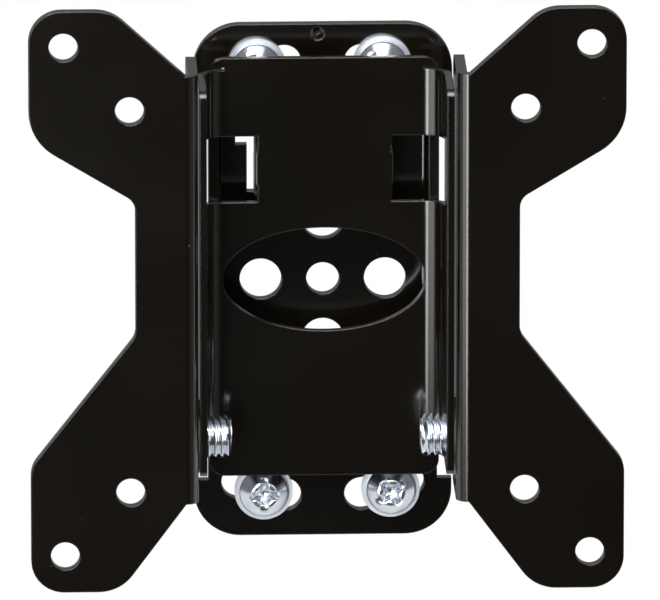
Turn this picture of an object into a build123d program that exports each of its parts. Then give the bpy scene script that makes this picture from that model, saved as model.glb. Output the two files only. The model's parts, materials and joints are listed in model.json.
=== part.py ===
# Tilting wall bracket for a small flat screen.
#
# A flat wall plate is screwed to the wall through four curved slots. A folded channel is hooked
# on its front, and two wings with the screen's hole patterns turn on side bolts in the channel.
#
# Frame: origin at the wall plate's centre hole, on the wall. +Z is up, +X is to the right when
# facing the wall, and -Y points away from the wall, to the viewer. All sizes are millimetres.
import math
import os

from build123d import *

# Wall plate
plate_sheet = 2.0
plate_width = 49.5
plate_height = 101.4
plate_drop = 0.4
plate_corner = 9.0
waist_half_width = 22.0
waist_half_height = 40.0
rail_depth = 9.0
rail_half_height = 32.0
rail_bend = 1.0
centre_hole_d = 6.3
ring_hole_d = 8.0
ring_radius = 11.9
dimple_d = 2.7
dimple_depth = 1.2
dimple_x = -1.0
dimple_height = 48.4

# Curved slots and wall screws
slot_radius = 43.6
slot_width = 6.4
slot_first_angle = 9.7
slot_last_angle = 21.9
screw_d = 5.0
screw_length = 22.0
screw_point = 5.0
screw_head_d = 9.5
screw_head_height = 3.4
screw_head_edge = 1.1
drive_slot_width = 1.4
drive_slot_depth = 1.1
drive_cross_width = 1.7
drive_cross_span = 6.0
drive_cross_depth = 2.2
screw_washer_d = 11.2
screw_washer_sheet = 1.0
screw_washer_clearance = 0.15

# Where each screw was driven: degrees off the vertical, distance out from its slot's middle line,
# and the direction of its head's slot, in degrees from +X
screw_places = {
    "top_right": (15.0, 0.4, 135),
    "top_left": (16.7, 0.4, 110),
    "bottom_left": (15.1, 0.0, 90),
    "bottom_right": (17.3, 0.2, 36),
}

# Channel
channel_sheet = 1.4
channel_inner_half = 22.8
channel_bend = 3.8
channel_front = 27.0
channel_edge_corner = 1.5
flange_top = 43.4
flange_bottom = -32.5
web_top = 45.8
web_bottom = -36.8
tab_half_width = 22.0
tab_corner = 3.0
tab_relief = 0.5
ellipse_width = 38.7
ellipse_height = 20.4
ellipse_centre = 2.1
window_inner = 12.7
window_top = 30.4
window_bottom = 17.4

# Hook tabs, lanced from the windows and bent back sharply into the wall plate
hook_top = 27.1
hook_bottom = 20.8
hook_step = 0.5
hook_edge = 0.4
hook_neck = 2.0
hook_body_clearance = 0.1
hook_tip_height = 7.0
hook_fit = 0.15
hook_slot_side = 1.3
hook_slot_top = 31.0
hook_slot_arm = 2.2
hook_slot_arm_bottom = 26.6

# Wings
wing_sheet = 2.0
wing_front = 30.0
wing_bend = 0.4
wing_flange_depth = 18.0
wing_flange_top = 47.3
wing_flange_bottom = -36.8
wing_flange_corner = 3.0
vesa_height = 3.2
vesa_large = 100.0
vesa_small = 75.0
vesa_hole_d = 5.5

# The flat wing's edge from the top of its fold round to the bottom, as distance from the middle,
# height above the middle of the screen holes, and corner radius
wing_outline = [
    (41.0, 57.0, 8.0),
    (56.6, 57.0, 6.3),
    (56.6, 31.9, 10.0),
    (36.5, 19.7, 3.0),
    (36.5, -6.7, 4.0),
    (56.5, -32.4, 5.5),
    (56.5, -57.2, 6.3),
    (39.6, -57.2, 8.0),
]

# Side bolts, on which the wings turn
bolt_d = 8.0
bolt_depth = 19.0
bolt_height = -26.4
bolt_end = 18.0
bolt_point = 0.6
bolt_head_flats = 13.0
bolt_head_height = 5.3
bolt_head_bevel = 30.0
bolt_head_crown = 0.2
thread_fit = 0.02
pivot_fit = 0.06
washer_fit = 0.2
friction_washer_d = 14.0
friction_washer_sheet = 0.3
flat_washer_d = 15.0
flat_washer_sheet = 1.4
lock_washer_d = 13.6
lock_washer_sheet = 2.0
lock_washer_gap = 1.2

# Places that follow from the sizes above
web_back = rail_depth
web_front = web_back + channel_sheet
channel_outer_half = channel_inner_half + channel_sheet
wing_inner = channel_outer_half + friction_washer_sheet
wing_outer = wing_inner + wing_sheet
wing_flat = wing_outer + wing_bend
wing_back = wing_front - wing_flange_depth
hook_outer = window_inner + hook_step
hook_inner = hook_outer - channel_sheet
hook_body_bottom = window_bottom + hook_body_clearance
screw_seat = plate_sheet + screw_washer_sheet
REACH = 4 * plate_height


def block(x_low, x_high, front, back, z_low, z_high):
    """A box between two distances from the middle, two depths off the wall and two heights."""
    box = Box(x_high - x_low, front - back, z_high - z_low)
    return Pos((x_low + x_high) / 2, -(front + back) / 2, (z_low + z_high) / 2) * box


def upright(sketch, front, back):
    """A shape drawn in X and Z, made solid between two depths off the wall."""
    placed = Plane((0, -back, 0), x_dir=(1, 0, 0), z_dir=(0, -1, 0)) * sketch
    return extrude(placed, front - back, dir=(0, -1, 0))


def rod(radius, x_low, x_high, depth, height):
    """A round bar along X."""
    placed = Plane((x_low, -depth, height), x_dir=(0, 1, 0), z_dir=(1, 0, 0)) * Circle(radius)
    return extrude(placed, x_high - x_low)


def section(sketch, z_low, z_high):
    """A shape drawn in X and Y, made solid between two heights."""
    return extrude(Pos(0, 0, z_low) * sketch, z_high - z_low)


def fold(x, depth, inner, outer, quadrant_x, quadrant_y):
    """A quarter ring for a folded corner, drawn in X and Y about the fold's own centre."""
    ring = Circle(outer) - Circle(inner)
    quarter = Pos(quadrant_x * outer / 2, quadrant_y * outer / 2) * Rectangle(outer, outer)
    return Pos(x, -depth) * (ring & quarter)


def strip(x_low, x_high, front, back):
    """A rectangle in X and Y, between two distances from the middle and two depths."""
    return Pos((x_low + x_high) / 2, -(front + back) / 2) * Rectangle(x_high - x_low, front - back)


def both_sides(shape):
    """A shape on the right together with its mirror image on the left."""
    return shape + mirror(shape, Plane.YZ)


def arc_slot(centre_angle):
    """One curved slot round the plate's centre, at an angle from +X."""
    half_turn = (slot_last_angle - slot_first_angle) / 2
    middle_line = CenterArc((0, 0), slot_radius, centre_angle - half_turn, 2 * half_turn)
    return SlotArc(middle_line, slot_width)


def slot_middles():
    """The four angles, from +X, of the middles of the curved slots."""
    middle = (slot_first_angle + slot_last_angle) / 2
    return [90 - middle, 90 + middle, 270 - middle, 270 + middle]


def make_wall_plate():
    """Flat plate with curved slots, a ring of holes and two forward rails along its waist."""
    face = Pos(0, -plate_drop) * RectangleRounded(plate_width, plate_height, plate_corner)
    side_cut = plate_width - waist_half_width
    for side in (1, -1):
        middle = side * (waist_half_width + side_cut / 2)
        face -= Pos(middle, 0) * Rectangle(side_cut, 2 * waist_half_height)
    face -= Circle(centre_hole_d / 2)
    face -= PolarLocations(ring_radius, 4) * Circle(ring_hole_d / 2)
    for angle in slot_middles():
        face -= arc_slot(angle)
    plate = upright(face, plate_sheet, 0)

    # The waist's edges give way to the folded rails.
    outer_bend = rail_bend + plate_sheet
    bend_start = waist_half_width - outer_bend
    corner = block(bend_start, plate_width, plate_sheet, 0, -rail_half_height, rail_half_height)
    plate -= both_sides(corner)
    rail_face = fold(bend_start, outer_bend, rail_bend, outer_bend, 1, 1)
    rail_face += strip(waist_half_width - plate_sheet, waist_half_width, rail_depth, outer_bend)
    plate += both_sides(section(rail_face, -rail_half_height, rail_half_height))

    # Both hook slots open to the left and upwards, so that the channel goes in at the upper left.
    slot_bottom = hook_body_bottom - hook_fit
    for hook_left, hook_right in ((-hook_outer, -hook_inner), (hook_inner, hook_outer)):
        left_edge = hook_left - hook_slot_side
        right_edge = hook_right + hook_fit
        plate -= block(left_edge, right_edge, plate_sheet, 0, slot_bottom, hook_slot_top)
        plate -= block(left_edge - hook_slot_arm, right_edge, plate_sheet, 0,
                       hook_slot_arm_bottom, hook_slot_top)

    # A punched dimple marks the top.
    dimple = Cone(0.5, dimple_d / 2, dimple_depth)
    return plate - Pos(dimple_x, dimple_depth / 2 - plate_sheet, dimple_height) * Rot(90, 0, 0) * dimple


def make_channel():
    """Folded channel with hook windows, an oval window and tapped flanges."""
    bend_x = channel_inner_half - channel_bend
    bend_depth = web_front + channel_bend
    face = fold(bend_x, bend_depth, channel_bend, channel_bend + channel_sheet, 1, 1)
    face += strip(channel_inner_half, channel_outer_half, channel_front, bend_depth)
    flange = section(face, flange_bottom, flange_top)
    ends = flange.edges().filter_by(Axis.X).group_by(Axis.Y)[0]
    flange = fillet(ends, channel_edge_corner)
    web = block(-bend_x, bend_x, web_front, web_back, flange_bottom, flange_top)

    # The flat web runs on above and below its flanges, behind a narrow relief cut.
    tab_face = Pos(0, (web_top + web_bottom) / 2) * RectangleRounded(
        2 * tab_half_width, web_top - web_bottom, tab_corner)
    tab = upright(tab_face, web_front, web_back)
    tab -= block(-REACH, REACH, REACH, 0, flange_bottom - tab_relief, flange_top + tab_relief)
    neck = block(
        -bend_x, bend_x, web_front, web_back,
        flange_bottom - tab_relief, flange_top + tab_relief)
    channel = web + both_sides(flange) + tab + neck

    oval = Pos(0, ellipse_centre) * Ellipse(ellipse_width / 2, ellipse_height / 2)
    channel -= upright(oval, channel_front, 0)
    window = block(
        window_inner, channel_outer_half, bend_depth, 0, window_bottom, window_top)
    channel -= both_sides(window)

    # Each hook turns back off the web in a narrow neck, widens, and its tip stands in its slot.
    shoulder = web_back - hook_neck
    body_top = window_top - hook_body_clearance
    neck = block(hook_inner, hook_outer, web_front, shoulder, hook_bottom, hook_top)
    neck = fillet(neck.edges().filter_by(Axis.Z).sort_by(Axis.Y)[:2].sort_by(Axis.X)[-1], hook_edge)
    hook = neck + block(hook_inner, hook_outer, shoulder, plate_sheet, hook_body_bottom, body_top)
    tip_top = hook_body_bottom + hook_tip_height
    hook += block(hook_inner, hook_outer, plate_sheet, 0, hook_body_bottom, tip_top)
    channel += both_sides(hook)

    tapped = rod(
        bolt_d / 2 + thread_fit, bend_x, channel_outer_half, bolt_depth, bolt_height)
    return channel - both_sides(tapped)


def make_wing():
    """The right wing: a flat screen plate with a flange folded back along its inner edge."""
    start_x, start_z = wing_flat, wing_flange_top
    points = [(start_x, start_z)]
    points += [(x, z + vesa_height) for x, z, radius in wing_outline]
    points += [(start_x, wing_flange_bottom)]
    face = Polygon(*points, align=None)
    for x, z, radius in wing_outline:
        corner = face.vertices().sort_by_distance((x, z + vesa_height, 0))[0]
        face = fillet(corner, radius)
    for pattern in (vesa_large, vesa_small):
        for level in (-pattern / 2, pattern / 2):
            face -= Pos(pattern / 2, vesa_height + level) * Circle(vesa_hole_d / 2)
    wing = upright(face, wing_front, wing_front - wing_sheet)

    outer_bend = wing_bend + wing_sheet
    bend_depth = wing_front - outer_bend
    flange_face = fold(wing_flat, bend_depth, wing_bend, outer_bend, -1, -1)
    flange_face += strip(wing_inner, wing_outer, bend_depth, wing_back)
    flange = section(flange_face, wing_flange_bottom, wing_flange_top)
    ends = flange.edges().filter_by(Axis.X).group_by(Axis.Y)[-1]
    flange = fillet(ends, wing_flange_corner)
    pivot = rod(bolt_d / 2 + pivot_fit, wing_inner, wing_outer, bolt_depth, bolt_height)
    return wing + flange - pivot


def make_wall_screw():
    """Pan-head screw with a slot and a cross, drawn along +Y with its seat at the origin."""
    radius = screw_head_d / 2
    profile = Polyline(
        (0, -screw_head_height), (radius * 0.55, -screw_head_height), (radius, -screw_head_edge),
        (radius, 0), (screw_d / 2, 0), (screw_d / 2, screw_length - screw_point),
        (0, screw_length), close=True)
    face = make_face(profile)
    crown = face.vertices().sort_by_distance((radius, -screw_head_edge, 0))[0]
    shoulder = face.vertices().sort_by_distance((radius * 0.55, -screw_head_height, 0))[0]
    face = fillet([crown, shoulder], 1.0)
    screw = revolve(face, Axis.Y)
    top = screw_head_height
    screw -= block(-radius, radius, top, top - drive_slot_depth,
                   -drive_slot_width / 2, drive_slot_width / 2)
    # Each arm of the cross narrows towards its floor.
    mouth = Rectangle(drive_cross_span, drive_cross_width)
    floor = Rectangle(drive_cross_span / 2, drive_cross_width / 2)
    for turn in (0, 90):
        front_plane = Plane((0, -top, 0), x_dir=(1, 0, 0), z_dir=(0, -1, 0))
        floor_plane = Plane((0, drive_cross_depth - top, 0), x_dir=(1, 0, 0), z_dir=(0, -1, 0))
        arm = loft([front_plane * (Rot(0, 0, turn) * mouth), floor_plane * (Rot(0, 0, turn) * floor)])
        screw -= arm
    return screw


def make_washer(outer_d, inner_d, sheet):
    """A flat ring along +X, from the origin."""
    ring = Circle(outer_d / 2) - Circle(inner_d / 2)
    return extrude(Plane.YZ * ring, sheet)


def make_lock_washer():
    """A split spring ring, squeezed flat, along +X from the origin."""
    ring = make_washer(lock_washer_d, bolt_d + 2 * washer_fit, lock_washer_sheet)
    gap = Pos(lock_washer_sheet / 2, 0, lock_washer_d / 2) * Rot(20, 0, 0) * Box(
        2 * lock_washer_sheet, lock_washer_gap, lock_washer_d)
    return ring - gap


def make_bolt():
    """Hexagon bolt for the right side, its head outwards and its end inside the channel."""
    stack = flat_washer_sheet + lock_washer_sheet
    seat = wing_outer + stack
    shank = Pos(bolt_end) * extrude(Plane.YZ * Circle(bolt_d / 2), seat - bolt_end)
    shank = chamfer(shank.edges().group_by(Axis.X)[0], bolt_point)
    corner_radius = bolt_head_flats / 3 ** 0.5
    head = extrude(Plane.YZ * RegularPolygon(corner_radius, 6), bolt_head_height)
    # A cone turned on the head's outer face takes off its six points.
    crown = bolt_head_flats / 2 - bolt_head_crown
    spread = bolt_head_height / math.tan(math.radians(bolt_head_bevel))
    cone = Cone(crown + spread, crown, bolt_head_height)
    head &= Pos(bolt_head_height / 2, 0, 0) * Rot(0, 90, 0) * cone
    return Pos(0, -bolt_depth, bolt_height) * (shank + Pos(seat) * head)


def at_bolt(shape, x):
    """A piece drawn from the origin along +X, put on the right bolt at a distance."""
    return Pos(x, -bolt_depth, bolt_height) * shape


def save(shape, name):
    """One closed solid, written under its node's name."""
    solid = shape.clean()
    export_step(solid, f"parts/{name}.step")


def build():
    """Every piece of the bracket, by name."""
    pieces = {"wall_plate": make_wall_plate(), "tilt_channel": make_channel()}
    loose_d = bolt_d + 2 * washer_fit
    right = {
        "wing": make_wing(),
        "pivot_bolt": make_bolt(),
        "friction_washer": at_bolt(
            make_washer(friction_washer_d, loose_d, friction_washer_sheet), channel_outer_half),
        "flat_washer": at_bolt(
            make_washer(flat_washer_d, loose_d, flat_washer_sheet), wing_outer),
        "lock_washer": at_bolt(make_lock_washer(), wing_outer + flat_washer_sheet),
    }
    for name, shape in right.items():
        pieces[f"right_{name}"] = shape
        pieces[f"left_{name}"] = mirror(shape, Plane.YZ)

    hole_d = screw_d + 2 * screw_washer_clearance
    washer = Rot(0, 0, -90) * make_washer(screw_washer_d, hole_d, screw_washer_sheet)
    screw = make_wall_screw()
    for corner, (off_vertical, outward, drive_turn) in screw_places.items():
        side = 1 if corner.endswith("right") else -1
        level = 1 if corner.startswith("top") else -1
        angle = math.radians(off_vertical)
        distance = slot_radius + outward
        place = Pos(side * distance * math.sin(angle), 0, level * distance * math.cos(angle))
        turned = Rot(0, -drive_turn, 0) * screw
        pieces[f"{corner}_screw"] = place * Pos(0, -screw_seat, 0) * turned
        pieces[f"{corner}_washer"] = place * Pos(0, -plate_sheet, 0) * washer
    return pieces


os.makedirs("parts", exist_ok=True)
for piece_name, piece in build().items():
    save(piece, piece_name)
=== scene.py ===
# %% [markdown]
# # A tilting wall bracket in black paint and bright zinc
#
# The bracket is folded sheet steel: a wall plate, a channel and two wings, held by bolts and
# screws. Every piece already exists as an exact solid in the frame, in metres. This lesson gives
# the pieces their finishes, cuts the screw threads, and then lights and frames the bracket.

# %% Load the frame
import json
import math

import bmesh
import bpy
from mathutils import Matrix, Vector

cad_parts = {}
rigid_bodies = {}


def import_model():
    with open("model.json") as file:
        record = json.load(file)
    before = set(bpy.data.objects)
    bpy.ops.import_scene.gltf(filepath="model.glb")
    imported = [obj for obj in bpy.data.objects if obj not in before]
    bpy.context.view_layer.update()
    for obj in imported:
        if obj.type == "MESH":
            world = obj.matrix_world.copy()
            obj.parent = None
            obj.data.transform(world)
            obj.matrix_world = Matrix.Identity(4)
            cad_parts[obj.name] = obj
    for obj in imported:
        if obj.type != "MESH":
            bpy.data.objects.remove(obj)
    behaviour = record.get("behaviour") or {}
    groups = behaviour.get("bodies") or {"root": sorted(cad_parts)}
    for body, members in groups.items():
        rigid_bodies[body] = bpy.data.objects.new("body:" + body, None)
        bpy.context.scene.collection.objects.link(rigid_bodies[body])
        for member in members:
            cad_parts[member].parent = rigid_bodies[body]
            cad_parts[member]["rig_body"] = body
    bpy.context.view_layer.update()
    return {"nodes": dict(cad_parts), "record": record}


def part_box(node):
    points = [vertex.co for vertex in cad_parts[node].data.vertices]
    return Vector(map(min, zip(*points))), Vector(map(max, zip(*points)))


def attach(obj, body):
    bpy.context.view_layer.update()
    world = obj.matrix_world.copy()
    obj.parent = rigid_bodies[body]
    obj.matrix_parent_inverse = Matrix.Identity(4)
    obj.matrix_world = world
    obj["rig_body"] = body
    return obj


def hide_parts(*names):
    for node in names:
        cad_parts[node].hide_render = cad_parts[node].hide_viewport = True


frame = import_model()
MM = 0.001
nodes = frame["nodes"]

# %% [markdown]
# ## Helpers for colours and nodes
#
# Colours are easiest to pick as sRGB hex, but a shader works in linear light, so one function
# turns one into the other. A second adds a shader node with its settings and links, which keeps
# each material as short as a recipe.

# %% Colour helper
def linear(hex_colour):
    """An sRGB hex colour as linear RGBA."""
    parts = [int(hex_colour[i:i + 2], 16) / 255 for i in (1, 3, 5)]
    return [c / 12.92 if c <= 0.04045 else ((c + 0.055) / 1.055) ** 2.4 for c in parts] + [1]


print("middle grey:", [round(c, 3) for c in linear("#808080")])

# %% Node helpers
def add(tree, kind, settings=None, **inputs):
    """A node of one kind, with its settings, and with values or links on its inputs.

    An input is given by its name, with _ for a space, or by its number, as in i0. The Mix node
    needs numbers, because several of its sockets share a name: 6 and 7 are its two colours.
    """
    node = tree.nodes.new(kind)
    for name, value in (settings or {}).items():
        setattr(node, name, value)
    for name, value in inputs.items():
        key = int(name[1:]) if name[0] == "i" and name[1:].isdigit() else name.replace("_", " ")
        socket = node.inputs[key]
        if isinstance(value, bpy.types.NodeSocket):
            tree.links.new(value, socket)
        else:
            socket.default_value = value
    return node


def new_material(name):
    """An empty node material and its node tree."""
    material = bpy.data.materials.new(name)
    material.use_nodes = True
    material.node_tree.nodes.clear()
    return material, material.node_tree


def finish_material(tree, shader):
    """Connects the shader to the material's output."""
    add(tree, "ShaderNodeOutputMaterial", Surface=shader.outputs["BSDF"])


def ramp(tree, factor, low, high, low_value, high_value):
    """A number that goes from one value to another between two limits of the factor."""
    return add(
        tree, "ShaderNodeMapRange", {"clamp": True}, Value=factor, From_Min=low, From_Max=high,
        To_Min=low_value, To_Max=high_value).outputs["Result"]


# %% [markdown]
# ## Black powder coat
#
# The sheet steel wears a stoved black powder coat. It flows out glossy but never quite flat:
# beads of powder leave a soft orange peel, two or three millimetres from crest to crest. Gloss on
# black shows almost nothing where it faces the dark side of a room, and a hard white line at each
# fold. The thick coat rounds every punched edge, so each edge draws a fine line too. A few specks
# of dust sit on it. Noise makes the peel, and a Voronoi pattern spaces the specks evenly.

# %% Material: gloss black powder coat on steel
PEEL_MM = 2.2
PEEL_HEIGHT_MM = 0.05
CLOUD_MM = 28
EDGE_RADIUS_MM = 0.4
SPECK_SPACING_MM = 9.9
# A speck fades out between these shares of the spacing, so it is about half a millimetre across.
SPECK_CORE, SPECK_RIM = 0.018, 0.03


def powder_coat():
    """Glossy black powder coat with orange peel, faint dust and rounded edges."""
    material, tree = new_material("gloss_black_powder_coat")
    place = add(tree, "ShaderNodeTexCoord").outputs["Object"]
    peel = add(
        tree, "ShaderNodeTexNoise", Vector=place, Scale=1 / (PEEL_MM * MM), Detail=2.0,
        Roughness=0.4).outputs["Fac"]
    cloud = add(
        tree, "ShaderNodeTexNoise", Vector=place, Scale=1 / (CLOUD_MM * MM),
        Detail=4.0).outputs["Fac"]
    speck = add(
        tree, "ShaderNodeTexVoronoi", Vector=place,
        Scale=1 / (SPECK_SPACING_MM * MM)).outputs["Distance"]
    dust = ramp(tree, speck, SPECK_CORE, SPECK_RIM, 1.0, 0.0)
    rounded = add(
        tree, "ShaderNodeBevel", {"samples": 6}, Radius=EDGE_RADIUS_MM * MM).outputs["Normal"]
    bump = add(
        tree, "ShaderNodeBump", Strength=0.03, Distance=PEEL_HEIGHT_MM * MM, Height=peel,
        Normal=rounded)
    tone = add(
        tree, "ShaderNodeMix", {"data_type": "RGBA"}, i0=cloud, i6=linear("#18130b"),
        i7=linear("#211b11")).outputs[2]
    colour = add(
        tree, "ShaderNodeMix", {"data_type": "RGBA"}, i0=dust, i6=tone,
        i7=linear("#6b655a")).outputs[2]
    gloss = ramp(tree, cloud, 0.3, 0.7, 0.14, 0.18)
    shader = add(
        tree, "ShaderNodeBsdfPrincipled", Base_Color=colour, Roughness=gloss, IOR=1.5,
        Normal=bump.outputs["Normal"], Coat_Weight=0.6, Coat_Roughness=0.1)
    finish_material(tree, shader)
    return material


paint = powder_coat()
print("made", paint.name)

# %% [markdown]
# ## Bright zinc plate
#
# Screws and bolts are steel, barrel-plated in zinc and passivated clear. Each is a bright,
# slightly blue metal. Tumbling with its neighbours in the barrel leaves it finely scuffed, so its
# roughness varies over a few tenths of a millimetre. Flat washers are stamped from sheet and rub
# face to face in the barrel, so they come out duller and mirror a wider part of the room. One
# function makes both, and only the roughness differs.

# %% Material: clear-passivated zinc plate
SCUFF_MM = 0.35
SCUFF_HEIGHT_MM = 0.01
PATCH_MM = 3
SCREW_ROUGHNESS = (0.2, 0.28)
WASHER_ROUGHNESS = (0.42, 0.52)


def zinc_plate(name, smoothest, roughest):
    """Bright bluish zinc with fine tumbling scuffs, between two values of roughness."""
    material, tree = new_material(name)
    place = add(tree, "ShaderNodeTexCoord").outputs["Object"]
    scuff = add(
        tree, "ShaderNodeTexNoise", Vector=place, Scale=1 / (SCUFF_MM * MM), Detail=3.0,
        Roughness=0.6).outputs["Fac"]
    patch = add(
        tree, "ShaderNodeTexNoise", Vector=place, Scale=1 / (PATCH_MM * MM),
        Detail=2.0).outputs["Fac"]
    colour = add(
        tree, "ShaderNodeMix", {"data_type": "RGBA"}, i0=patch, i6=linear("#bcc3d2"),
        i7=linear("#e6eaec")).outputs[2]
    gloss = ramp(tree, scuff, 0.3, 0.7, smoothest, roughest)
    bump = add(
        tree, "ShaderNodeBump", Strength=0.05, Distance=SCUFF_HEIGHT_MM * MM, Height=scuff)
    shader = add(
        tree, "ShaderNodeBsdfPrincipled", Base_Color=colour, Metallic=1.0, Roughness=gloss,
        Normal=bump.outputs["Normal"])
    finish_material(tree, shader)
    return material


zinc = zinc_plate("clear_passivated_zinc_plate", *SCREW_ROUGHNESS)
stamped_zinc = zinc_plate("clear_passivated_zinc_on_stamped_washers", *WASHER_ROUGHNESS)
print("made", zinc.name, "and", stamped_zinc.name)

# %% [markdown]
# ## Natural nylon
#
# The friction washers between the wings and the channel are punched from nylon sheet, milky white
# and slightly waxy. Only their rims show, so a plain shader with a little grain is enough.

# %% Material: natural nylon sheet
GRAIN_MM = 0.6
GRAIN_HEIGHT_MM = 0.02


def nylon_sheet():
    """Milky, slightly waxy nylon."""
    material, tree = new_material("natural_nylon_sheet")
    place = add(tree, "ShaderNodeTexCoord").outputs["Object"]
    grain = add(
        tree, "ShaderNodeTexNoise", Vector=place, Scale=1 / (GRAIN_MM * MM),
        Detail=2.0).outputs["Fac"]
    colour = add(
        tree, "ShaderNodeMix", {"data_type": "RGBA"}, i0=grain, i6=linear("#d8d4c6"),
        i7=linear("#e6e2d6")).outputs[2]
    bump = add(
        tree, "ShaderNodeBump", Strength=0.1, Distance=GRAIN_HEIGHT_MM * MM, Height=grain)
    shader = add(
        tree, "ShaderNodeBsdfPrincipled", Base_Color=colour, Roughness=0.45, IOR=1.53,
        Normal=bump.outputs["Normal"])
    finish_material(tree, shader)
    return material


nylon = nylon_sheet()
print("made", nylon.name)

# %% [markdown]
# ## Dressing the pieces
#
# The record in the frame names a finish for every piece. Pieces of one finish share one material,
# so they stay alike, and only the stamped zinc washers take the duller one.

# %% Give each piece its finish
FINISH = {"black_paint": paint, "zinc_plate": zinc, "nylon": nylon}


def dress(piece, material):
    """Gives a piece its one material."""
    piece.data.materials.clear()
    piece.data.materials.append(material)


for part in frame["record"]["subparts"]:
    node, slot = part["node"], part["material_slot"]
    stamped = slot == "zinc_plate" and node.endswith("washer")
    dress(nodes[node], stamped_zinc if stamped else FINISH[slot])

# %% [markdown]
# ## Screw threads
#
# A thread is a ridge that winds round a rod. A grid of points does it well: going once round, the
# pattern of crest and root slides along by one pitch. The crest stays at the rod's own size, so
# the piece still fits its hole, and the root is cut in below it.

# %% Thread helper
TURN_POINTS = 48
PITCH_POINTS = 8
# Crest and root are both a little flat, as a rolled thread's are. This is the share of each flank.
THREAD_FLAT = 0.12


def threaded_rod(mesh, start, end, pitch, envelope, depth):
    """Adds a rod along +X to a bmesh. envelope(x) is the outer radius, and the root is cut in."""
    rows = max(2, int((end - start) / pitch * PITCH_POINTS))
    rings = []
    for row in range(rows + 1):
        x = start + (end - start) * row / rows
        ring = []
        for column in range(TURN_POINTS):
            turn = column / TURN_POINTS
            phase = (x / pitch - turn) % 1.0
            ridge = (abs(2 * phase - 1) - THREAD_FLAT) / (1 - 2 * THREAD_FLAT)
            ridge = min(1.0, max(0.0, ridge))
            # Where the rod runs out to a point, the root takes half of the radius at most.
            radius = envelope(x) - min(depth, envelope(x) / 2) * (1 - ridge)
            angle = 2 * math.pi * turn
            point = (x, radius * math.cos(angle), radius * math.sin(angle))
            ring.append(mesh.verts.new(point))
        rings.append(ring)
    for low, high in zip(rings, rings[1:]):
        for i in range(TURN_POINTS):
            j = (i + 1) % TURN_POINTS
            mesh.faces.new((low[i], low[j], high[j], high[i]))
    mesh.faces.new(list(reversed(rings[0])))
    mesh.faces.new(rings[-1])


# %% [markdown]
# ## From an exact solid to a threaded piece
#
# The head of each bolt or screw is already right, so it is cut off the exact solid with a plane
# and kept. The threaded rod is then moved to where the plain shank was and joined to the head,
# and the new piece takes the solid's place and rides on the same body.

# %% Helpers that cut, join and show a piece
WELD = 0.001 * MM


def head_of(node, plane_point, plane_normal):
    """The half of a CAD piece on the side that the normal points away from, as a closed bmesh."""
    mesh = bmesh.new()
    mesh.from_mesh(nodes[node].data)
    bmesh.ops.remove_doubles(mesh, verts=mesh.verts, dist=WELD)
    everything = mesh.verts[:] + mesh.edges[:] + mesh.faces[:]
    cut = bmesh.ops.bisect_plane(
        mesh, geom=everything, plane_co=plane_point, plane_no=plane_normal, clear_outer=True)
    edges = [g for g in cut["geom_cut"] if isinstance(g, bmesh.types.BMEdge)]
    bmesh.ops.edgeloop_fill(mesh, edges=edges)
    return mesh


def join_rod(mesh, rod, matrix):
    """Moves a rod into place and adds it to the other bmesh."""
    bmesh.ops.transform(rod, matrix=matrix, verts=rod.verts)
    data = bpy.data.meshes.new("rod")
    rod.to_mesh(data)
    rod.free()
    mesh.from_mesh(data)
    bpy.data.meshes.remove(data)


def make_piece(name, mesh, node, slot, smooth_angle):
    """Turns a bmesh into a shown piece that stands for a CAD node, and prints its size."""
    bmesh.ops.recalc_face_normals(mesh, faces=mesh.faces)
    data = bpy.data.meshes.new(name)
    mesh.to_mesh(data)
    mesh.free()
    for face in data.polygons:
        face.use_smooth = True
    data.set_sharp_from_angle(angle=math.radians(smooth_angle))
    piece = bpy.data.objects.new(name, data)
    bpy.context.scene.collection.objects.link(piece)
    dress(piece, FINISH[slot])
    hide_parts(node)
    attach(piece, nodes[node]["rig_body"])
    print(piece.name, len(data.polygons), "faces")


# %% [markdown]
# ## Side bolts
#
# The wings turn on two M8 bolts of the usual 1.25 mm pitch, whose ends show inside the channel
# as a few bright turns. The hexagon head keeps its exact form, and only the shank is rebuilt.

# %% Side bolts with their thread
BOLT_RADIUS = 4.0 * MM
BOLT_PITCH = 1.25 * MM
BOLT_THREAD_DEPTH = 0.6 * MM
BOLT_HEAD = 5.3 * MM
BOLT_CHAMFER = 0.7 * MM

for side, sign in (("left", -1), ("right", 1)):
    node = f"{side}_pivot_bolt"
    low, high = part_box(node)
    axis_y, axis_z = (low.y + high.y) / 2, (low.z + high.z) / 2
    tip = min(abs(low.x), abs(high.x))
    seat = max(abs(low.x), abs(high.x)) - BOLT_HEAD

    def bolt_envelope(x, tip=tip):
        """The bolt's outer radius, which tapers in at its tip."""
        return BOLT_RADIUS - max(0.0, BOLT_CHAMFER - (x - tip))

    head = head_of(node, (sign * seat, 0, 0), (-sign, 0, 0))
    shank = bmesh.new()
    threaded_rod(shank, tip, seat, BOLT_PITCH, bolt_envelope, BOLT_THREAD_DEPTH)
    # Turned half round for the left side, so the thread keeps its hand.
    facing = Matrix.Diagonal((sign, sign, 1, 1))
    join_rod(head, shank, Matrix.Translation((0, axis_y, axis_z)) @ facing)
    make_piece(f"{side}_threaded_bolt", head, node, "zinc_plate", smooth_angle=35)

# %% [markdown]
# ## Wall screws
#
# Pan-head screws with a slot and a cross hold the plate to the wall. Their heads are the exact
# solids. Behind the plate each shank is a coarse, sharp thread that runs out to a point.

# %% Wall screws with a coarse thread
SCREW_RADIUS = 2.5 * MM
SCREW_PITCH = 2.2 * MM
SCREW_THREAD_DEPTH = 0.75 * MM
SCREW_LENGTH = 22.0 * MM
SCREW_NECK = 3.0 * MM
SCREW_POINT = 5.0 * MM
# The very point is not sharp: it keeps this share of the radius.
SCREW_BLUNT = 0.02

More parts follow.
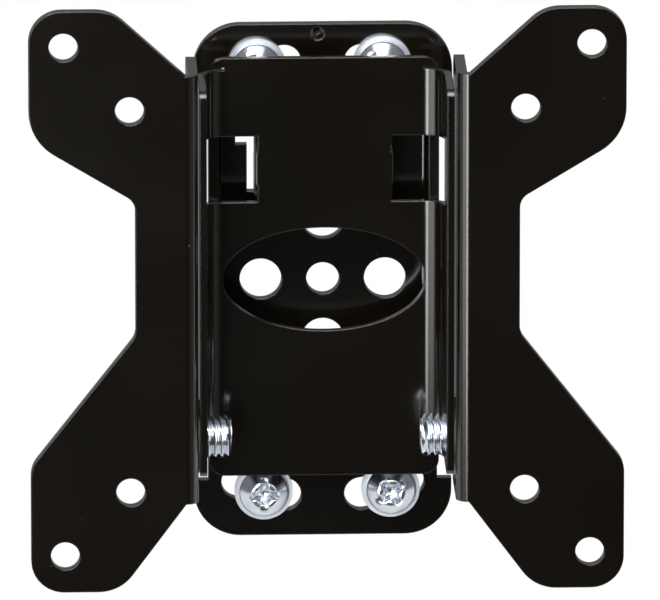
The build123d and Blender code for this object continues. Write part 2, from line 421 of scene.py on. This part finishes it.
for corner in ("top_right", "top_left", "bottom_left", "bottom_right"):
    node = f"{corner}_screw"
    low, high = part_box(node)
    middle = Vector(((low.x + high.x) / 2, 0, (low.z + high.z) / 2))
    point = high.y
    thread_start = SCREW_NECK + point - SCREW_LENGTH

    def screw_envelope(y, point=point):
        """The screw's outer radius, which runs out to its point."""
        return SCREW_RADIUS * min(1.0, max(SCREW_BLUNT, (point - y) / SCREW_POINT))

    head = head_of(node, (0, thread_start, 0), (0, 1, 0))
    shank = bmesh.new()
    threaded_rod(shank, thread_start, point, SCREW_PITCH, screw_envelope, SCREW_THREAD_DEPTH)
    into_wall = Matrix.Rotation(math.radians(90), 4, "Z")
    join_rod(head, shank, Matrix.Translation(middle) @ into_wall)
    make_piece(f"{corner}_threaded_screw", head, node, "zinc_plate", smooth_angle=40)

# %% [markdown]
# ## Floor
#
# The bracket hangs on a wall, so it needs no floor to stand on, but a pale one well below it gives
# light back from underneath. The camera and every mirror see it as plain white, like a paper sweep
# that is lit on its own, and matt surfaces get the light that its pale colour throws back.

# %% Floor
FLOOR_DROP = 0.35
FLOOR_FRONT, FLOOR_BACK, FLOOR_HALF = -0.3, 0.9, 2.5


def sweep_material():
    """White to the camera and to mirrors, and pale matt paper to all other light."""
    material, tree = new_material("white_sweep")
    pale = add(
        tree, "ShaderNodeBsdfPrincipled", Base_Color=linear("#ededed"), Roughness=0.8)
    white = add(tree, "ShaderNodeEmission", Color=[1, 1, 1, 1], Strength=1.0)
    path = add(tree, "ShaderNodeLightPath")
    seen = add(
        tree, "ShaderNodeMath", {"operation": "MAXIMUM"}, i0=path.outputs["Is Camera Ray"],
        i1=path.outputs["Is Glossy Ray"]).outputs["Value"]
    mix = add(
        tree, "ShaderNodeMixShader", i0=seen, i1=pale.outputs["BSDF"],
        i2=white.outputs["Emission"])
    add(tree, "ShaderNodeOutputMaterial", Surface=mix.outputs["Shader"])
    return material


def make_floor():
    """A pale floor well below the bracket, which the camera sees as a white background."""
    data = bpy.data.meshes.new("floor")
    corners = [
        (-FLOOR_HALF, FLOOR_FRONT), (FLOOR_HALF, FLOOR_FRONT),
        (FLOOR_HALF, FLOOR_BACK), (-FLOOR_HALF, FLOOR_BACK)]
    data.from_pydata([(x, y, -FLOOR_DROP) for x, y in corners], [], [(0, 1, 2, 3)])
    floor = bpy.data.objects.new("floor", data)
    bpy.context.scene.collection.objects.link(floor)
    data.materials.append(sweep_material())
    print("floor at", -FLOOR_DROP, "m")


make_floor()

# %% [markdown]
# ## Surroundings
#
# Glossy black is a mirror for its surroundings. A photographer keeps the part of the room dark
# that the flat faces mirror, so they stay black and only the folds light up. The world here does
# the same. The camera sees it white. The bracket sees it soft grey in front, so that the domed
# screw heads have something to mirror, with a dark gap where the flat faces look. Behind itself
# it sees a pale glow that is strongest low and on the left.

# %% World: white for the camera, soft grey for the bracket, with a dark gap
CAMERA_RISE, CAMERA_LEFT = 15.4, 2.0
GAP_HALF, GAP_EDGE = 24.0, 46.0
GAP_GREY, FRONT_GREY = 0.03, 0.22
GLOW, GLOW_SHARE_HIGH, GLOW_SHARE_RIGHT = 0.45, 0.1, 0.15


def gap_direction():
    """Where the flat faces look: as far right as the camera is left, as far down as it is up."""
    right, down = math.radians(CAMERA_LEFT), math.radians(CAMERA_RISE)
    flat = math.cos(down)
    return math.sin(right) * flat, -math.cos(right) * flat, -math.sin(down)


def make_world():
    """White for the camera, and for the object a studio with a dark gap that flat faces mirror."""
    world = bpy.data.worlds.new("studio")
    bpy.context.scene.world = world
    world.use_nodes = True
    tree = world.node_tree
    tree.nodes.clear()
    direction = add(tree, "ShaderNodeTexCoord").outputs["Generated"]
    axes = add(tree, "ShaderNodeSeparateXYZ", Vector=direction)
    near = add(
        tree, "ShaderNodeVectorMath", {"operation": "DOT_PRODUCT"}, i0=direction,
        i1=gap_direction()).outputs["Value"]
    edge, half = (math.cos(math.radians(angle)) for angle in (GAP_EDGE, GAP_HALF))
    front = ramp(tree, near, edge, half, FRONT_GREY, GAP_GREY)
    # The limits below are parts of a direction of length 1: Y is behind, Z is up and X is right.
    behind = ramp(tree, axes.outputs["Y"], -0.3, 0.2, 0.0, GLOW)
    low = ramp(tree, axes.outputs["Z"], -0.35, -0.05, 1.0, GLOW_SHARE_HIGH)
    on_left = ramp(tree, axes.outputs["X"], -0.3, 0.1, 1.0, GLOW_SHARE_RIGHT)
    low_left = add(tree, "ShaderNodeMath", {"operation": "MULTIPLY"}, i0=low, i1=on_left)
    glow = add(
        tree, "ShaderNodeMath", {"operation": "MULTIPLY"}, i0=behind, i1=low_left.outputs["Value"])
    room = add(
        tree, "ShaderNodeMath", {"operation": "MAXIMUM"}, i0=front, i1=glow.outputs["Value"])
    path = add(tree, "ShaderNodeLightPath")
    strength = add(
        tree, "ShaderNodeMath", {"operation": "MAXIMUM"}, i0=room.outputs["Value"],
        i1=path.outputs["Is Camera Ray"]).outputs["Value"]
    light = add(tree, "ShaderNodeBackground", Color=[1, 1, 1, 1], Strength=strength)
    add(tree, "ShaderNodeOutputWorld", Surface=light.outputs["Background"])
    print("dark gap towards", [round(part, 2) for part in gap_direction()])


make_world()

# %% [markdown]
# ## Lights
#
# A fold mirrors whatever lies off to its side. A narrow bright bar at the front left draws the
# bright line down each right-hand fold, and a dim panel beside it draws the grey band next to that
# line. A flat face mirrors one spot of the room, so a wide bright panel would turn a whole wing
# white from the side: the bright light is narrow, and the wide one is dim. A dimmer panel at the
# right draws the soft line on the left wing, and two above light the top edges. The panels that
# only draw lines are kept out of diffuse light, so pale surfaces don't burn out.

# %% Panel helper
def panel(name, azimuth, elevation, distance, width, height, radiance, diffuse):
    """A flat light that faces the bracket. Azimuth 0 is the camera's side, and left is positive."""
    around, up = math.radians(azimuth), math.radians(elevation)
    place = distance * Vector((
        -math.sin(around) * math.cos(up), -math.cos(around) * math.cos(up), math.sin(up)))
    data = bpy.data.lights.new(name, "AREA")
    data.shape = "RECTANGLE"
    data.size, data.size_y = width, height
    data.energy = radiance * width * height * math.pi
    lamp = bpy.data.objects.new(name, data)
    bpy.context.scene.collection.objects.link(lamp)
    lamp.location = place
    lamp.rotation_euler = (-place).to_track_quat("-Z", "Y").to_euler()
    lamp.visible_camera = False
    lamp.visible_diffuse = diffuse
    print(name, round(data.energy, 2), "W")


# %% Panels
# Name, azimuth, elevation, distance, width, height, radiance, and whether it lights matt surfaces.
PANELS = (
    ("left_panel", 42, 6.5, 1.2, 0.85, 1.02, 2.4, False),
    ("left_bar", 17, 6.5, 1.2, 0.24, 1.02, 10.0, False),
    ("right_panel", -34, 11, 1.4, 0.45, 1.0, 1.2, False),
    ("top_panel", 10, 66, 1.2, 1.2, 1.0, 2.0, True),
    ("edge_panel", 8, 42, 1.3, 1.0, 1.1, 6.0, False),
    ("front_fill", 35, 25, 1.6, 0.8, 0.8, 1.2, True),
)

for values in PANELS:
    panel(*values)

# %% [markdown]
# ## Camera
#
# The photograph is taken from far away with a long lens: the screen holes are as far apart at the
# top as at the bottom. Its height comes from the same holes, whose square looks 3.6% shorter than
# it is wide, so the camera looks down by about 15 degrees. What lies deeper in the bracket is
# seen a little further left, which puts the camera 2 degrees to the left.

# %% Camera
PIXELS_PER_MM = 5.27
PHOTO_WIDTH, PHOTO_HEIGHT = 660, 600
HOLES_MIDDLE_PX = (327.7, 300.8)
CAMERA_DISTANCE = 3.0
SENSOR_MM = 36.0


def make_camera():
    """A long lens in front of the bracket and a little above it."""
    data = bpy.data.cameras.new("camera")
    camera = bpy.data.objects.new("camera", data)
    bpy.context.scene.collection.objects.link(camera)
    rise, left = math.radians(CAMERA_RISE), math.radians(CAMERA_LEFT)
    data.sensor_fit = "HORIZONTAL"
    data.sensor_width = SENSOR_MM
    data.lens = SENSOR_MM * CAMERA_DISTANCE / (PHOTO_WIDTH / PIXELS_PER_MM * MM)
    data.clip_start, data.clip_end = 0.05, 50.0
    mounts = frame["record"]["mounts"]
    holes = next(m for m in mounts if m["name"] == "screen_holes_100")
    right = (PHOTO_WIDTH / 2 - HOLES_MIDDLE_PX[0]) / PIXELS_PER_MM * MM
    above = (HOLES_MIDDLE_PX[1] - PHOTO_HEIGHT / 2) / PIXELS_PER_MM * MM
    turned = Matrix.Rotation(-left, 3, "Z") @ Matrix.Rotation(math.pi / 2 - rise, 3, "X")
    target = Vector(holes["pos_m"]) + turned @ Vector((right, above, 0))
    camera.location = target + turned @ Vector((0, 0, CAMERA_DISTANCE))
    camera.rotation_euler = turned.to_euler()
    bpy.context.scene.camera = camera
    print("lens", round(data.lens), "mm")


make_camera()
bpy.context.scene.view_settings.view_transform = "Standard"
